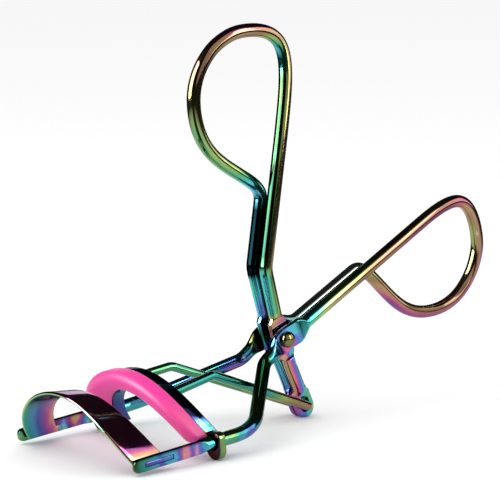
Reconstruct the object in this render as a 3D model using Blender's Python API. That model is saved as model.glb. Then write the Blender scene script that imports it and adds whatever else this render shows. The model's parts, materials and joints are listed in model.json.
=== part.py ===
"""Eyelash curler: wire frame and lever on one rivet, with a jaw that slides along the frame rails.

Mechanism frame, in metres: the rivet axis is the Y axis, +X runs along the rails towards the
jaws and +Z is up. The whole tool leans nose-down by STAND_TILT so that it stands on the rail
tips and the lever end, and the floor is z = 0.
"""

import math

import bmesh
import bpy
from mathutils import Matrix, Vector

MM = 0.001
RING = 16                                # sides of a wire section
PIVOT_AT = Vector((2.28, 0.0, 15.90)) * MM     # rivet axis above the floor, tool centred on x = 0
STAND_TILT = math.radians(4.9)

WIRE_R = 1.25 * MM                       # frame and lever wire
LINK_R = 0.85 * MM                       # push link wire
GAP = 0.3 * MM                           # running clearance

# frame wire
EAR_Y = 2.95 * MM                        # pressed frame ear, middle of its thickness
EAR_T = 1.1 * MM
EAR_W = 4.6 * MM
EAR_END = 3.2 * MM                       # the ear stays parallel to its neighbour this far back
SHOULDER = (5.7 * MM, 3.2 * MM, -3.4 * MM)   # where the wire turns out of the ear
RAIL_Y = 16.5 * MM
RAIL_Z = -10.2 * MM
RAIL_BACK = 20.2 * MM                    # corner between the splayed leg and the rail
RAIL_TIP = 47.2 * MM
TIP_ROUND = 1.1 * MM
FLAT_FROM = 31.4 * MM                    # the rail is pressed flat from here to the tip
FLAT_T = 1.1 * MM
FLAT_SHIFT = 0.5 * MM                    # the flats stay near the outer side of the wire
FLAT_H = 2.6 * MM
HANDLE_UP = math.radians(22.7)           # frame handle above the horizontal
HANDLE_FROM = (-6.2 * MM, 1.55 * MM)
HANDLE_OFFSET = 4.6 * MM                 # start of the frame loop beyond HANDLE_FROM
HANDLE_Y = (1.6 * MM, 1.45 * MM)         # strands beside the ear, and at the loop

# finger loop: control points of its curve as (distance along the straight strand, distance out)
LOOP = ((8.3, 0.0), (11.8, 0.0), (15.3, 0.0), (18.7, 14.0), (26.1, 19.0), (32.6, 19.9), (38.1, 17.4),
        (40.3, 15.0), (42.6, 11.8), (43.8, 0.1), (26.5, 0.0), (22.5, 0.0), (17.5, 0.0))
LOOP_STEPS = 5

# lever wire
CRANK = 15.1 * MM                       # rivet axis to the eye
CRANK_BACK = math.radians(19.9)          # crank behind the vertical at rest
LEVER_EAR_Y = 1.5 * MM
LEVER_Y = 1.8 * MM
ARM_T = 2.3 * MM                         # crank arms, slightly flattened against each other
ARM_INNER = 0.2 * MM                     # inner faces of the arms and eyes from the mid-plane
KINK = (2.4 * MM, 13.44 * MM)
LEVER_BACK = math.radians(14.7)          # lever handle behind the vertical above the kink
EYE_T = 1.0 * MM
EYE_W = 4.4 * MM
EYE_R = 1.2 * MM
EYE_SLOT = 0.9 * MM                      # the eye is longer towards the rivet by this much

# rivet
RIVET_R = 0.95 * MM
RIVET_HEAD_R = 1.5 * MM
RIVET_TAIL_R = 1.35 * MM
RIVET_HEAD_H = 1.1 * MM
RIVET_TAIL_H = 0.8 * MM

# jaws: the arches stand on ARCH_Z
ARCH_Z = -10.7 * MM
FIXED_T = 0.65 * MM
FIXED_A = 16.1 * MM
FIXED_BACK = (43.7 * MM, 10.6 * MM, (0.2, 20.0))      # x at the crown, rise, sweep back
FIXED_FRONT = (49.7 * MM, 11.6 * MM, (0.0, 28.5))
TAB_X = (39.0 * MM, 45.0 * MM)
TAB_T = 0.7 * MM
STAKE_GAP = 0.1 * MM
JAW_A = 15.5 * MM
JAW_H = 11.9 * MM
JAW_X = 31.05 * MM                       # back of the channel at the crown
JAW_SWEEP = (0.2, 20.0)
JAW_DEPTH = 2.7 * MM
JAW_SHEET = 0.45 * MM
JAW_TALL = 3.4 * MM
PAD_FRONT = 6.3 * MM                     # pad nose ahead of the back of the channel
PAD_SPAN = 0.93                          # share of the arch the pad covers
LUG_X = (28.1 * MM, 29.7 * MM)
LUG_HALF = 1.95 * MM
LUG_TOP = 1.8 * MM
LUG_DROP = 3.2 * MM

# push link
LINK_ELBOW = (19.95 * MM, 5.95 * MM, -1.9 * MM)
LINK_FRONT_SLOPE = (0.125, -0.067)       # dy, dz per unit of x ahead of the elbow
LINK_Y = 2.6 * MM
LINK_REACH = 9.75 * MM                   # straight front ends ahead of the elbow
LINK_REF = Vector((-0.45, 0.0, 0.89))


def clear_scene():
    for obj in list(bpy.data.objects):
        bpy.data.objects.remove(obj)


def material(name, colour, roughness, metallic):
    mat = bpy.data.materials.new(name)
    mat.use_nodes = True
    shader = mat.node_tree.nodes["Principled BSDF"]
    shader.inputs["Base Color"].default_value = (*colour, 1.0)
    shader.inputs["Roughness"].default_value = roughness
    shader.inputs["Metallic"].default_value = metallic
    return mat


def add_object(name, bm, mat, parent, origin=(0.0, 0.0, 0.0), smooth=True):
    """Turns bm, given in the mechanism frame, into an object whose origin is at origin."""
    bmesh.ops.translate(bm, vec=-Vector(origin), verts=bm.verts)
    bmesh.ops.recalc_face_normals(bm, faces=bm.faces)
    mesh = bpy.data.meshes.new(name)
    bm.to_mesh(mesh)
    bm.free()
    for face in mesh.polygons:
        face.use_smooth = smooth
    mesh.materials.append(mat)
    obj = bpy.data.objects.new(name, mesh)
    bpy.context.scene.collection.objects.link(obj)
    obj.parent = parent
    obj.location = origin
    return obj


def smoothstep(x):
    x = min(1.0, max(0.0, x))
    return x * x * (3.0 - 2.0 * x)


def mix(a, b, t):
    return a + (b - a) * t


def rounded(points, radii, steps=7):
    """Replaces each inner corner of a polyline by an arc of the given radius."""
    out = [Vector(points[0])]
    for i, radius in enumerate(radii):
        corner = Vector(points[i + 1])
        a = (Vector(points[i]) - corner).normalized()
        b = (Vector(points[i + 2]) - corner).normalized()
        half = a.angle(b) / 2.0
        reach = radius / math.tan(half)
        centre = corner + (a + b).normalized() * (radius / math.sin(half))
        arm = corner + a * reach - centre
        axis = arm.cross(corner + b * reach - centre).normalized()
        turn = math.pi - 2.0 * half
        for k in range(steps + 1):
            out.append(centre + Matrix.Rotation(turn * k / steps, 3, axis) @ arm)
    out.append(Vector(points[-1]))
    return out


def subdivided(path, spacing):
    """Adds points along a path so that no step is longer than spacing(point)."""
    out = [path[0]]
    for a, b in zip(path[:-1], path[1:]):
        length = (b - a).length
        if length < 1e-7:
            continue
        step = min(spacing(a), spacing(b), spacing((a + b) / 2.0))
        count = max(1, math.ceil(length / step))
        out.extend(a.lerp(b, k / count) for k in range(1, count + 1))
    return out


def ring_offsets(half_a, half_b, corner, sides=RING):
    """A rounded rectangle with the same number of points on each corner; a circle when all equal."""
    per = sides // 4
    out = []
    for quadrant, (sa, sb) in enumerate(((1, 1), (-1, 1), (-1, -1), (1, -1))):
        for k in range(per):
            angle = math.pi / 2.0 * (quadrant + (k + 0.5) / per)
            out.append((sa * (half_a - corner) + corner * math.cos(angle),
                        sb * (half_b - corner) + corner * math.sin(angle)))
    return out


def sweep(path, section, ref):
    """Skins a section along a path. section(point) gives half sizes and corner radius;
    the first half size is measured along ref as far as the path allows."""
    bm = bmesh.new()
    rings = []
    last = len(path) - 1
    for i, point in enumerate(path):
        ahead = path[min(i + 1, last)] - point
        behind = point - path[max(i - 1, 0)]
        tangent = (ahead.normalized() + behind.normalized()).normalized()
        axis_a = (ref - tangent * ref.dot(tangent)).normalized()
        axis_b = tangent.cross(axis_a)
        ring = [bm.verts.new(point + axis_a * a + axis_b * b)
                for a, b in ring_offsets(*section(point))]
        rings.append(ring)
    for low, high in zip(rings[:-1], rings[1:]):
        for k in range(len(low)):
            j = (k + 1) % len(low)
            bm.faces.new((low[k], low[j], high[j], high[k]))
    bm.faces.new(reversed(rings[0]))
    bm.faces.new(rings[-1])
    return bm


def cutter_from(name, bm):
    mesh = bpy.data.meshes.new(name)
    bmesh.ops.recalc_face_normals(bm, faces=bm.faces)
    bm.to_mesh(mesh)
    bm.free()
    obj = bpy.data.objects.new(name, mesh)
    bpy.context.scene.collection.objects.link(obj)
    obj.hide_render = True
    obj.display_type = "WIRE"
    return obj


def combine(bm, tool, operation):
    """Applies an exact Boolean between two bmeshes and returns the result."""
    base = cutter_from("base", bm)
    other = cutter_from("tool", tool)
    modifier = base.modifiers.new("cut", "BOOLEAN")
    modifier.operation = operation
    modifier.solver = "EXACT"
    modifier.object = other
    graph = bpy.context.evaluated_depsgraph_get()
    result = bmesh.new()
    result.from_mesh(base.evaluated_get(graph).to_mesh())
    bpy.data.objects.remove(base)
    bpy.data.objects.remove(other)
    return result


def y_slot(x, z, radius, length, direction, half_y):
    """A round-ended bar along Y, reaching from (x, z) by length in direction."""
    bm = bmesh.new()
    side = Vector((-direction[1], direction[0]))
    start = math.atan2(-side[1], -side[0]) + math.pi
    outline = []
    for k in range(25):
        angle = start + math.pi * k / 24
        outline.append((x + direction[0] * length + radius * math.cos(angle - math.pi),
                        z + direction[1] * length + radius * math.sin(angle - math.pi)))
    for k in range(25):
        angle = start + math.pi * k / 24
        outline.append((x + radius * math.cos(angle), z + radius * math.sin(angle)))
    prism(bm, [Vector((px, -half_y, pz)) for px, pz in outline], Vector((0.0, 2.0 * half_y, 0.0)))
    return bm


def prism(bm, outline, along):
    """Extrudes a flat outline along a vector, dropping repeated points."""
    points = [p for i, p in enumerate(outline) if (p - outline[i - 1]).length > 1e-6]
    low = [bm.verts.new(p) for p in points]
    high = [bm.verts.new(p + along) for p in points]
    count = len(points)
    for k in range(count):
        j = (k + 1) % count
        bm.faces.new((low[k], low[j], high[j], high[k]))
    bm.faces.new(reversed(low))
    bm.faces.new(high)


def box(x, y, z):
    bm = bmesh.new()
    corners = [Vector((x[0], y[0], z[0])), Vector((x[1], y[0], z[0])),
               Vector((x[1], y[1], z[0])), Vector((x[0], y[1], z[0]))]
    prism(bm, corners, Vector((0.0, 0.0, z[1] - z[0])))
    return bm


def loop_curve(start, along, out, offset, y_far, y_near):
    """The finger loop: up the far strand, round the loop and back down the near one."""
    control = []
    for i, (distance, reach) in enumerate(LOOP):
        flat = Vector(start) + Vector(along) * (distance * MM + offset) + Vector(out) * (reach * MM)
        crossing = min(1.0, max(0.0, (i - 2) / (len(LOOP) - 5)))
        control.append(Vector((flat[0], mix(y_far, y_near, crossing), flat[1])))
    return smooth_curve(control, LOOP_STEPS)


def smooth_curve(control, steps):
    """A uniform cubic B-spline, from beside its second control point to beside its last but one."""
    points = []
    for i in range(len(control) - 3):
        a, b, c, d = control[i:i + 4]
        last = 1 if i == len(control) - 4 else 0
        for k in range(steps + last):
            t = k / steps
            points.append((a * (1.0 - t) ** 3 + b * (3.0 * t ** 3 - 6.0 * t * t + 4.0)
                           + c * (-3.0 * t ** 3 + 3.0 * t * t + 3.0 * t + 1.0) + d * t ** 3) / 6.0)
    return points


def wire_path(side, radii, loop):
    """A symmetric bent wire: the far side, the finger loop, then the near side."""
    far = rounded(side(-1) + [loop[0]], radii)
    near = rounded([loop[-1]] + side(1)[::-1], radii[::-1])
    return far[:-1] + loop + near[1:]


def ear_amount(point, centre, full, fade):
    reach = math.hypot(point.x - centre[0], point.z - centre[1])
    return 1.0 - smoothstep((reach - full) / fade)


def blend_section(amount, half_a, half_b, corner, radius=WIRE_R):
    return (mix(radius, half_a, amount), mix(radius, half_b, amount), mix(radius, corner, amount))


def frame_section(point):
    if abs(point.y) < 6.0 * MM and abs(point.z) < 8.0 * MM:
        amount = ear_amount(point, (-1.3 * MM, 0.3 * MM), 2.9 * MM, 3.2 * MM)
        return blend_section(amount, EAR_T / 2.0, EAR_W / 2.0, 0.4 * MM)
    amount = smoothstep((point.x - FLAT_FROM) / (2.0 * MM))
    sizes = blend_section(amount, FLAT_T / 2.0, FLAT_H / 2.0, 0.45 * MM)
    into = min(1.0, max(0.0, (point.x - (RAIL_TIP - TIP_ROUND)) / TIP_ROUND))
    shrink = math.sqrt(max(0.0, 1.0 - into * into * 0.8))
    return tuple(size * shrink for size in sizes)


def frame_wire(mat, parent):
    along = Vector((-math.cos(HANDLE_UP), math.sin(HANDLE_UP)))
    out = Vector((-math.sin(HANDLE_UP), -math.cos(HANDLE_UP)))
    ear_end = Vector(HANDLE_FROM).normalized() * EAR_END

    def side(sign):
        return [Vector((RAIL_TIP, sign * RAIL_Y, RAIL_Z)),
                Vector((RAIL_BACK, sign * RAIL_Y, RAIL_Z)),
                Vector((SHOULDER[0], sign * SHOULDER[1], SHOULDER[2])),
                Vector((0.0, sign * EAR_Y, 0.0)),
                Vector((ear_end[0], sign * EAR_Y, ear_end[1])),
                Vector((HANDLE_FROM[0], sign * HANDLE_Y[0], HANDLE_FROM[1]))]

    loop = loop_curve(HANDLE_FROM, along, out, HANDLE_OFFSET, -HANDLE_Y[1], HANDLE_Y[1])
    radii = [10.0 * MM, 3.0 * MM, 5.0 * MM, 3.0 * MM, 5.0 * MM]

    def spacing(point):
        if abs(point.y) < 6.0 * MM and math.hypot(point.x, point.z) < 8.0 * MM:
            return 0.7 * MM
        if point.x > RAIL_TIP - 1.2 * MM:
            return 0.2 * MM
        if FLAT_FROM - 0.5 * MM < point.x < FLAT_FROM + 2.5 * MM:
            return 0.5 * MM
        return 8.0 * MM

    marks = [RAIL_TIP - 1.2 * MM, FLAT_FROM + 2.5 * MM, FLAT_FROM - 0.5 * MM]
    path = wire_path(side, radii, loop)
    head = [path[0]] + [Vector((m, -RAIL_Y, RAIL_Z)) for m in marks]
    tail = [Vector((m, RAIL_Y, RAIL_Z)) for m in marks[::-1]] + [path[-1]]
    path = subdivided(head + path[1:-1] + tail, spacing)
    for point in path:
        shift = FLAT_SHIFT * smoothstep((point.x - FLAT_FROM) / (2.0 * MM))
        point.y += math.copysign(shift, point.y)
    bm = sweep(path, frame_section, Vector((0.0, 1.0, 0.0)))
    bm = combine(bm, y_slot(0.0, 0.0, RIVET_R + GAP, 0.0, (1.0, 0.0), 6.0 * MM), "DIFFERENCE")
    for sign in (-1, 1):
        window = box((TAB_X[0] - STAKE_GAP, TAB_X[1] + STAKE_GAP),
                     sorted((sign * 14.0 * MM, sign * 19.0 * MM)),
                     (RAIL_Z - TAB_T / 2.0 - STAKE_GAP, RAIL_Z + TAB_T / 2.0 + STAKE_GAP))
        bm = combine(bm, window, "DIFFERENCE")
    return add_object("frame_wire", bm, mat, parent)


def crank_direction():
    return Vector((-math.sin(CRANK_BACK), -math.cos(CRANK_BACK)))


def crank_reach(point):
    """Distance down the crank, negative above the rivet."""
    down = crank_direction()
    return point.x * down[0] + point.z * down[1]


def lever_section(point):
    reach = crank_reach(point)
    if reach < 6.0 * MM:
        amount = ear_amount(point, (0.0, 0.0), 3.6 * MM, 1.0 * MM)
        beside = mix(ARM_T / 2.0, WIRE_R, smoothstep(-reach / (4.0 * MM)))
        half_a = mix(beside, EAR_T / 2.0, amount)
        half_b = mix(WIRE_R, EAR_W / 2.0 - 0.3 * MM, amount)
        return half_a, half_b, mix(beside, 0.4 * MM, amount)
    amount = smoothstep((reach - (CRANK - 4.2 * MM)) / (1.5 * MM))
    past = min(1.0, max(0.0, (reach - CRANK) / (EYE_W / 2.0)))
    narrow = math.sqrt(max(0.02, 1.0 - past * past))
    half_a = mix(ARM_T / 2.0, EYE_T / 2.0, amount)
    half_b = mix(WIRE_R, EYE_W / 2.0, amount) * narrow
    return half_a, half_b, min(mix(ARM_T / 2.0, 0.35 * MM, amount), half_b)


def lever_wire(mat, parent):
    along = Vector((-math.sin(LEVER_BACK), math.cos(LEVER_BACK)))
    out = Vector((math.cos(LEVER_BACK), math.sin(LEVER_BACK)))
    down = crank_direction()
    foot = down * (CRANK + EYE_W / 2.0)

    def side(sign):
        return [Vector((foot[0], sign * LEVER_EAR_Y, foot[1])),
                Vector((0.0, sign * LEVER_EAR_Y, 0.0)),
                Vector((KINK[0], sign * LEVER_Y, KINK[1]))]

    loop = loop_curve(KINK, along, out, 0.0, -LEVER_Y, LEVER_Y)

    def spacing(point):
        flat = Vector((point.x, point.z))
        if flat.length < 6.0 * MM:
            return 0.6 * MM
        past = flat.dot(down)
        if past > CRANK - 0.2 * MM:
            return 0.25 * MM
        if past > CRANK - 5.0 * MM:
            return 0.6 * MM
        return 8.0 * MM if past < 0.0 else 1.2 * MM

    path = wire_path(side, [6.0 * MM, 6.0 * MM], loop)
    marks = [CRANK, CRANK - 5.0 * MM, 6.0 * MM]
    head = [path[0]] + [Vector((down[0] * m, -LEVER_EAR_Y, down[1] * m)) for m in marks]
    tail = [Vector((down[0] * m, LEVER_EAR_Y, down[1] * m)) for m in marks[::-1]] + [path[-1]]
    path = subdivided(head + path[1:-1] + tail, spacing)
    for point in path:
        reach = crank_reach(point)
        if reach > 4.0 * MM:
            beside = ARM_INNER + lever_section(point)[0]
            beside = mix(LEVER_EAR_Y, beside, smoothstep((reach - 4.0 * MM) / (2.5 * MM)))
            point.y = math.copysign(beside, point.y)
    bm = sweep(path, lever_section, Vector((0.0, 1.0, 0.0)))
    bm = combine(bm, y_slot(0.0, 0.0, RIVET_R + GAP, 0.0, (1.0, 0.0), 6.0 * MM), "DIFFERENCE")
    eye = down * CRANK
    hole = y_slot(eye[0], eye[1], EYE_R, EYE_SLOT, (-down[0], -down[1]), 6.0 * MM)
    bm = combine(bm, hole, "DIFFERENCE")
    return add_object("lever_wire", bm, mat, parent)


def rivet(mat, parent):
    """A turned profile along Y: domed head on the near side, flatter tail on the far side."""
    under = EAR_Y + EAR_T / 2.0 + 0.25 * MM
    profile = []
    for k in range(9):
        angle = math.pi / 2.0 * k / 8
        profile.append((under + RIVET_HEAD_H * math.cos(angle), RIVET_HEAD_R * math.sin(angle)))
    profile.append((under, RIVET_R))
    profile.append((-under, RIVET_R))
    for k in range(9):
        angle = math.pi / 2.0 * (1.0 - k / 8)
        profile.append((-under - RIVET_TAIL_H * math.cos(angle), RIVET_TAIL_R * math.sin(angle)))
    bm = bmesh.new()
    verts = [bm.verts.new((radius, y, 0.0)) for y, radius in profile]
    edges = [bm.edges.new(pair) for pair in zip(verts[:-1], verts[1:])]
    bmesh.ops.spin(bm, geom=verts + edges, cent=(0.0, 0.0, 0.0), axis=(0.0, 1.0, 0.0),
                   angle=2.0 * math.pi, steps=32, use_merge=True)
    bmesh.ops.remove_doubles(bm, verts=bm.verts, dist=1e-7)
    return add_object("pivot_rivet", bm, mat, parent)


def arch_point(half, rise, x, sweep, turn, inward=0.0):
    """A point on a circular arch that sweeps back towards its feet; turn runs from -1 at the far
    foot to 1 at the near one."""
    radius = (half * half + rise * rise) / (2.0 * rise)
    end = math.asin(half / radius)
    angle = end * turn
    y = (radius - inward) * math.sin(angle)
    z = ARCH_Z + rise - radius + (radius - inward) * math.cos(angle)
    drop = ARCH_Z + rise - z
    return Vector((x - sweep[0] * drop - sweep[1] * drop * drop, y, z))


def plate_ring(turn):
    """Section of the fixed jaw plate: a strip of sheet with rounded edges."""
    back = arch_point(FIXED_A, FIXED_BACK[1], FIXED_BACK[0], FIXED_BACK[2], turn)
    front = arch_point(FIXED_A, FIXED_FRONT[1], FIXED_FRONT[0], FIXED_FRONT[2], turn)
    inner = arch_point(FIXED_A, FIXED_BACK[1], FIXED_BACK[0], FIXED_BACK[2], turn, FIXED_T)
    across = (front - back).normalized()
    inward = inner - back
    inward = (inward - across * inward.dot(across)).normalized()
    half = FIXED_T / 2.0
    ring = []
    for centre, first in ((front - across * half, -1.0), (back + across * half, 1.0)):
        for k in range(6):
            angle = math.pi * k / 5
            swing = inward * (-half * math.cos(angle)) + across * (half * math.sin(angle))
            if first > 0:
                swing = -swing
            ring.append(centre + inward * half + swing)
    return ring


def skin(rings):
    bm = bmesh.new()
    loops = [[bm.verts.new(p) for p in ring] for ring in rings]
    for low, high in zip(loops[:-1], loops[1:]):
        for k in range(len(low)):
            j = (k + 1) % len(low)
            bm.faces.new((low[k], low[j], high[j], high[k]))
    bm.faces.new(reversed(loops[0]))
    bm.faces.new(loops[-1])
    bmesh.ops.recalc_face_normals(bm, faces=bm.faces)
    return bm


def turns(count):
    return [-1.0 + 2.0 * k / count for k in range(count + 1)]


def fixed_jaw(mat, parent):
    bm = skin([plate_ring(t) for t in turns(56)])
    for sign in (-1, 1):
        tab = box(TAB_X, sorted((sign * (FIXED_A - 0.75 * MM),
                                 sign * (RAIL_Y + FLAT_SHIFT + FLAT_T / 2.0))),
                  (RAIL_Z - TAB_T / 2.0, RAIL_Z + TAB_T / 2.0))
        bm = combine(bm, tab, "UNION")
    return add_object("fixed_jaw", bm, mat, parent, smooth=False)


def jaw_ring(section, turn):
    """Section points are (ahead of the channel back, inward from its outer face)."""
    return [arch_point(JAW_A, JAW_H, JAW_X + ahead, JAW_SWEEP, turn, inward)
            for ahead, inward in section]


def channel_section():
    d, t, h = JAW_DEPTH, JAW_SHEET, JAW_TALL
    return [(0.0, 0.12 * MM), (0.12 * MM, 0.0), (d - 0.1 * MM, 0.0), (d, 0.1 * MM), (d, t), (t, t),
            (t, h - t), (d, h - t), (d, h - 0.1 * MM), (d - 0.1 * MM, h), (0.12 * MM, h),
            (0.0, h - 0.12 * MM)]


def lug(sign):
    """A stamped lug with a round foot, square to the rail."""
    outline = []
    for k in range(17):
        angle = math.pi + math.pi * k / 16
        outline.append(Vector((LUG_X[0], sign * RAIL_Y + LUG_HALF * math.cos(angle),
                               RAIL_Z - LUG_DROP + LUG_HALF + LUG_HALF * math.sin(angle))))
    for side in (1, -1):
        for k in range(5):
            angle = math.pi / 2.0 * (k / 4) if side > 0 else math.pi / 2.0 * (1.0 + k / 4)
            outline.append(Vector((LUG_X[0],
                                   sign * RAIL_Y + side * (LUG_HALF - 1.1 * MM) + 1.1 * MM * math.cos(angle),
                                   RAIL_Z + LUG_TOP - 1.1 * MM + 1.1 * MM * math.sin(angle))))
    bm = bmesh.new()
    prism(bm, outline, Vector((LUG_X[1] - LUG_X[0], 0.0, 0.0)))
    return bm


def rail_bore(sign):
    radius = WIRE_R + 0.25 * MM
    outline = [Vector((LUG_X[0] - 8.0 * MM, sign * RAIL_Y + radius * math.cos(math.tau * k / 32),
                       RAIL_Z + radius * math.sin(math.tau * k / 32))) for k in range(32)]
    bm = bmesh.new()
    prism(bm, outline, Vector((16.0 * MM, 0.0, 0.0)))
    return bm


def slide_jaw(mat, parent, origin):
    bm = skin([jaw_ring(channel_section(), t) for t in turns(56)])
    for sign in (-1, 1):
        bm = combine(bm, lug(sign), "UNION")
        bm = combine(bm, rail_bore(sign), "DIFFERENCE")
    return add_object("slide_jaw", bm, mat, parent, origin, smooth=False)


def pad_section():
    """Tongue in the channel, then the fatter rounded nose that meets the fixed jaw."""
    tongue = JAW_SHEET + GAP
    lip = JAW_DEPTH + GAP
    nose = 1.6 * MM
    top = -0.25 * MM
    low = JAW_TALL - 0.2 * MM
    section = [(tongue, tongue), (lip, tongue), (lip, top + 0.25 * MM), (lip + 0.25 * MM, top)]
    for k in range(7):
        angle = math.pi / 2.0 * (1.0 - k / 6)
        section.append((PAD_FRONT - nose + nose * math.cos(angle), top + nose - nose * math.sin(angle)))
    for k in range(7):
        angle = math.pi / 2.0 * k / 6
        section.append((PAD_FRONT - nose + nose * math.cos(angle), low - nose + nose * math.sin(angle)))
    section += [(lip + 0.25 * MM, low), (lip, low - 0.25 * MM), (lip, JAW_TALL - tongue),
                (tongue, JAW_TALL - tongue)]
    return section


def jaw_pad(mat, parent, origin):
    bm = skin([jaw_ring(pad_section(), t * PAD_SPAN) for t in turns(52)])
    return add_object("jaw_pad", bm, mat, parent, origin)


def push_link(mat, parent, origin):
    eye = crank_direction() * CRANK
    elbow = Vector(LINK_ELBOW)
    reach = LINK_REACH

    def side(sign):
        front = elbow + Vector((reach, LINK_FRONT_SLOPE[0] * reach, LINK_FRONT_SLOPE[1] * reach))
        points = [front, elbow, Vector((eye[0], LINK_Y, eye[1]))]
        return [Vector((p.x, sign * p.y, p.z)) for p in points]

    corners = side(-1) + side(1)[::-1]
    radii = [3.0 * MM, 1.3 * MM, 1.3 * MM, 3.0 * MM]
    path = subdivided(rounded(corners, radii, 8), lambda point: 6.0 * MM)
    bm = sweep(path, lambda point: (LINK_R, LINK_R, LINK_R), LINK_REF)
    return add_object("push_link", bm, mat, parent, origin)


def main():
    clear_scene()
    tool = bpy.data.objects.new("tool", None)
    bpy.context.scene.collection.objects.link(tool)
    tool.location = PIVOT_AT
    tool.rotation_euler = (0.0, STAND_TILT, 0.0)
    frame_steel = material("frame_steel", (0.10, 0.22, 0.20), 0.16, 1.0)
    lever_steel = material("lever_steel", (0.20, 0.20, 0.12), 0.16, 1.0)
    rivet_steel = material("rivet_steel", (0.22, 0.20, 0.10), 0.22, 1.0)
    fixed_steel = material("fixed_jaw_steel", (0.12, 0.05, 0.09), 0.12, 1.0)
    slide_steel = material("slide_jaw_steel", (0.04, 0.07, 0.12), 0.12, 1.0)
    link_steel = material("link_steel", (0.18, 0.30, 0.20), 0.20, 1.0)
    silicone = material("pad_silicone", (0.95, 0.10, 0.30), 0.55, 0.0)
    carriage = ((LUG_X[0] + LUG_X[1]) / 2.0, 0.0, RAIL_Z)
    frame_wire(frame_steel, tool)
    fixed_jaw(fixed_steel, tool)
    rivet(rivet_steel, tool)
    lever_wire(lever_steel, tool)
    slide_jaw(slide_steel, tool, carriage)
    jaw_pad(silicone, tool, carriage)
    push_link(link_steel, tool, carriage)


main()
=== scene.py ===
"""Looks of the eyelash curler: rainbow-coated steel wire and sheet, and a soft silicone pad.

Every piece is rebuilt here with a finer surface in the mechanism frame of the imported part: the
rivet axis is the Y axis, +X runs along the rails towards the jaws, lengths are in millimetres.
"""

import json
import math

import bmesh
import bpy
import numpy as np
from mathutils import Euler, Matrix, Vector


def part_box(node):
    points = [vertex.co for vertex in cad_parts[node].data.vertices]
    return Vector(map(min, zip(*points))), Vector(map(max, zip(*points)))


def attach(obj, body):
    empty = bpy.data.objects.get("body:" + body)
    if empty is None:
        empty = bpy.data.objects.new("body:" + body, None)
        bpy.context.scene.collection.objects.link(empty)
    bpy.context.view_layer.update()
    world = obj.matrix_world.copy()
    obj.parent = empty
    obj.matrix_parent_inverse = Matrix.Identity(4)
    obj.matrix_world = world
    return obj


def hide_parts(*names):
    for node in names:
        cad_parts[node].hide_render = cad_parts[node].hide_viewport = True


MM = 0.001
WIRE_SIDES = 48
LINK_SIDES = 36
SAME_PLACE = 1e-4                        # points closer than this are one point

# frame wire
WIRE_R = 1.25
EAR_T = 1.1                              # thickness of every pressed ear and flat
FRAME_EAR = (2.95, 2.3, 3.2)             # y of the ear, half width, length behind the rivet
FRAME_EAR_X = -1.3                       # middle of the pressed ear
FRAME_EAR_Z = 0.3
FRAME_SHOULDER = (5.7, 3.2, -3.4)        # where the wire leaves the ear for the rail
FRAME_BENDS = (10.0, 3.0, 5.0, 3.0, 5.0)  # bend radii from the rail to the handle
RAIL_Z = -10.2
RAIL_BACK = 20.2                         # x of the bend at the rail's rear end
RAIL_TIP = 47.2
RAIL_OUT = 1.226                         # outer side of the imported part's rail from its axis
TIP_ROUND = 1.1                          # length of the rounded tip
FLAT_FROM = 31.4                         # x where the rail starts to be pressed flat
FLAT_FADE = 2.0
FLAT_SHIFT = 0.45                        # outward step of the flat
FLAT_HALF = 1.2                          # half height of the flat
HANDLE_UP = math.radians(22.7)
HANDLE_FROM = (-6.2, 1.55)               # x, z where the handle's straight part begins
HANDLE_OFFSET = 4.6                      # of the loop along the handle
HANDLE_Y = (1.6, 1.45)                   # half distance of the strands, at the ears and at the loop

# finger loop of both handles: control points (distance along the handle, reach to the side)
LOOP = ((8.3, 0.0), (11.8, 0.0), (15.3, 0.0), (18.7, 14.0), (26.1, 19.0), (32.6, 19.9), (38.1, 17.4),
        (40.3, 15.0), (42.6, 11.8), (43.8, 0.1), (26.5, 0.0), (22.5, 0.0), (17.5, 0.0))
LOOP_STEPS = 14

# lever wire
LEVER_EAR = (1.5, 2.0)                   # y of the ear, half width
LEVER_Y = 1.8                            # half distance of the strands
LEVER_BACK = math.radians(14.7)          # lean of the handle
LEVER_BENDS = (6.0, 5.0)
KINK = (2.4, 13.44)                      # x, z of the bend between ear and handle
CRANK = 15.1                             # from the rivet to the eye
CRANK_BACK = math.radians(19.9)          # lean of the crank
ARM_HALF = 1.15
ARM_INNER = 0.2                          # half the gap between the two crank arms
EYE = (0.5, 2.2, 1.2, 0.9)               # half thickness, half width, hole radius, slot length

# push link
LINK_R = 0.85
LINK_ELBOW = (19.95, 5.95, -1.9)
LINK_SLOPE = (0.125, -0.067)             # y and z gained per millimetre ahead of the elbow
LINK_Y = 2.6                             # half length of the cross bar in the lever's eye
LINK_REACH = 9.75                        # of the prongs ahead of the elbow
LINK_BENDS = (3.0, 1.3, 1.3, 3.0)

# rivet: shank, head and tail radius, head and tail height
RIVET = (0.95, 1.5, 1.35, 1.1, 0.8)
RIVET_PLAY = 0.15

# jaws
ARCH_Z = -10.7                           # feet of both arches
FIXED = (16.1, 0.65)                     # half span of the arch, sheet
FIXED_BACK = (43.7, 10.6, (0.2, 0.020))  # x of the crown, rise of the arch, sweep back at its feet
FIXED_FRONT = (49.7, 11.6, (0.0, 0.0285))
TAB_X = (39.0, 45.0)                     # staked tabs that hold the jaw in the rails
TAB_T = 0.7
TAB_PLAY = (0.1, 0.08)                   # round a tab in its window, in x and z
SLIDE = (15.5, 11.9, 31.05, (0.2, 0.020))  # half span, rise, x of the crown, sweep back
CHANNEL = (2.7, 0.45, 3.4)               # depth, sheet, height
CHANNEL_BEND = 0.45
PAD_FRONT = 6.3                          # ahead of the channel's back
PAD_SPAN = 0.945                         # of the channel's arch
PAD_NOSE = 1.75                          # radius of the nose
PAD_FILLET = 0.4
PAD_OVERHANG = 0.45                      # of the nose above the channel
LUG_X = (28.1, 29.7)
LUG = (1.95, 1.8, 3.2)                   # half width, above and below the rail axis
LUG_CORNER = 1.1
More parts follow.
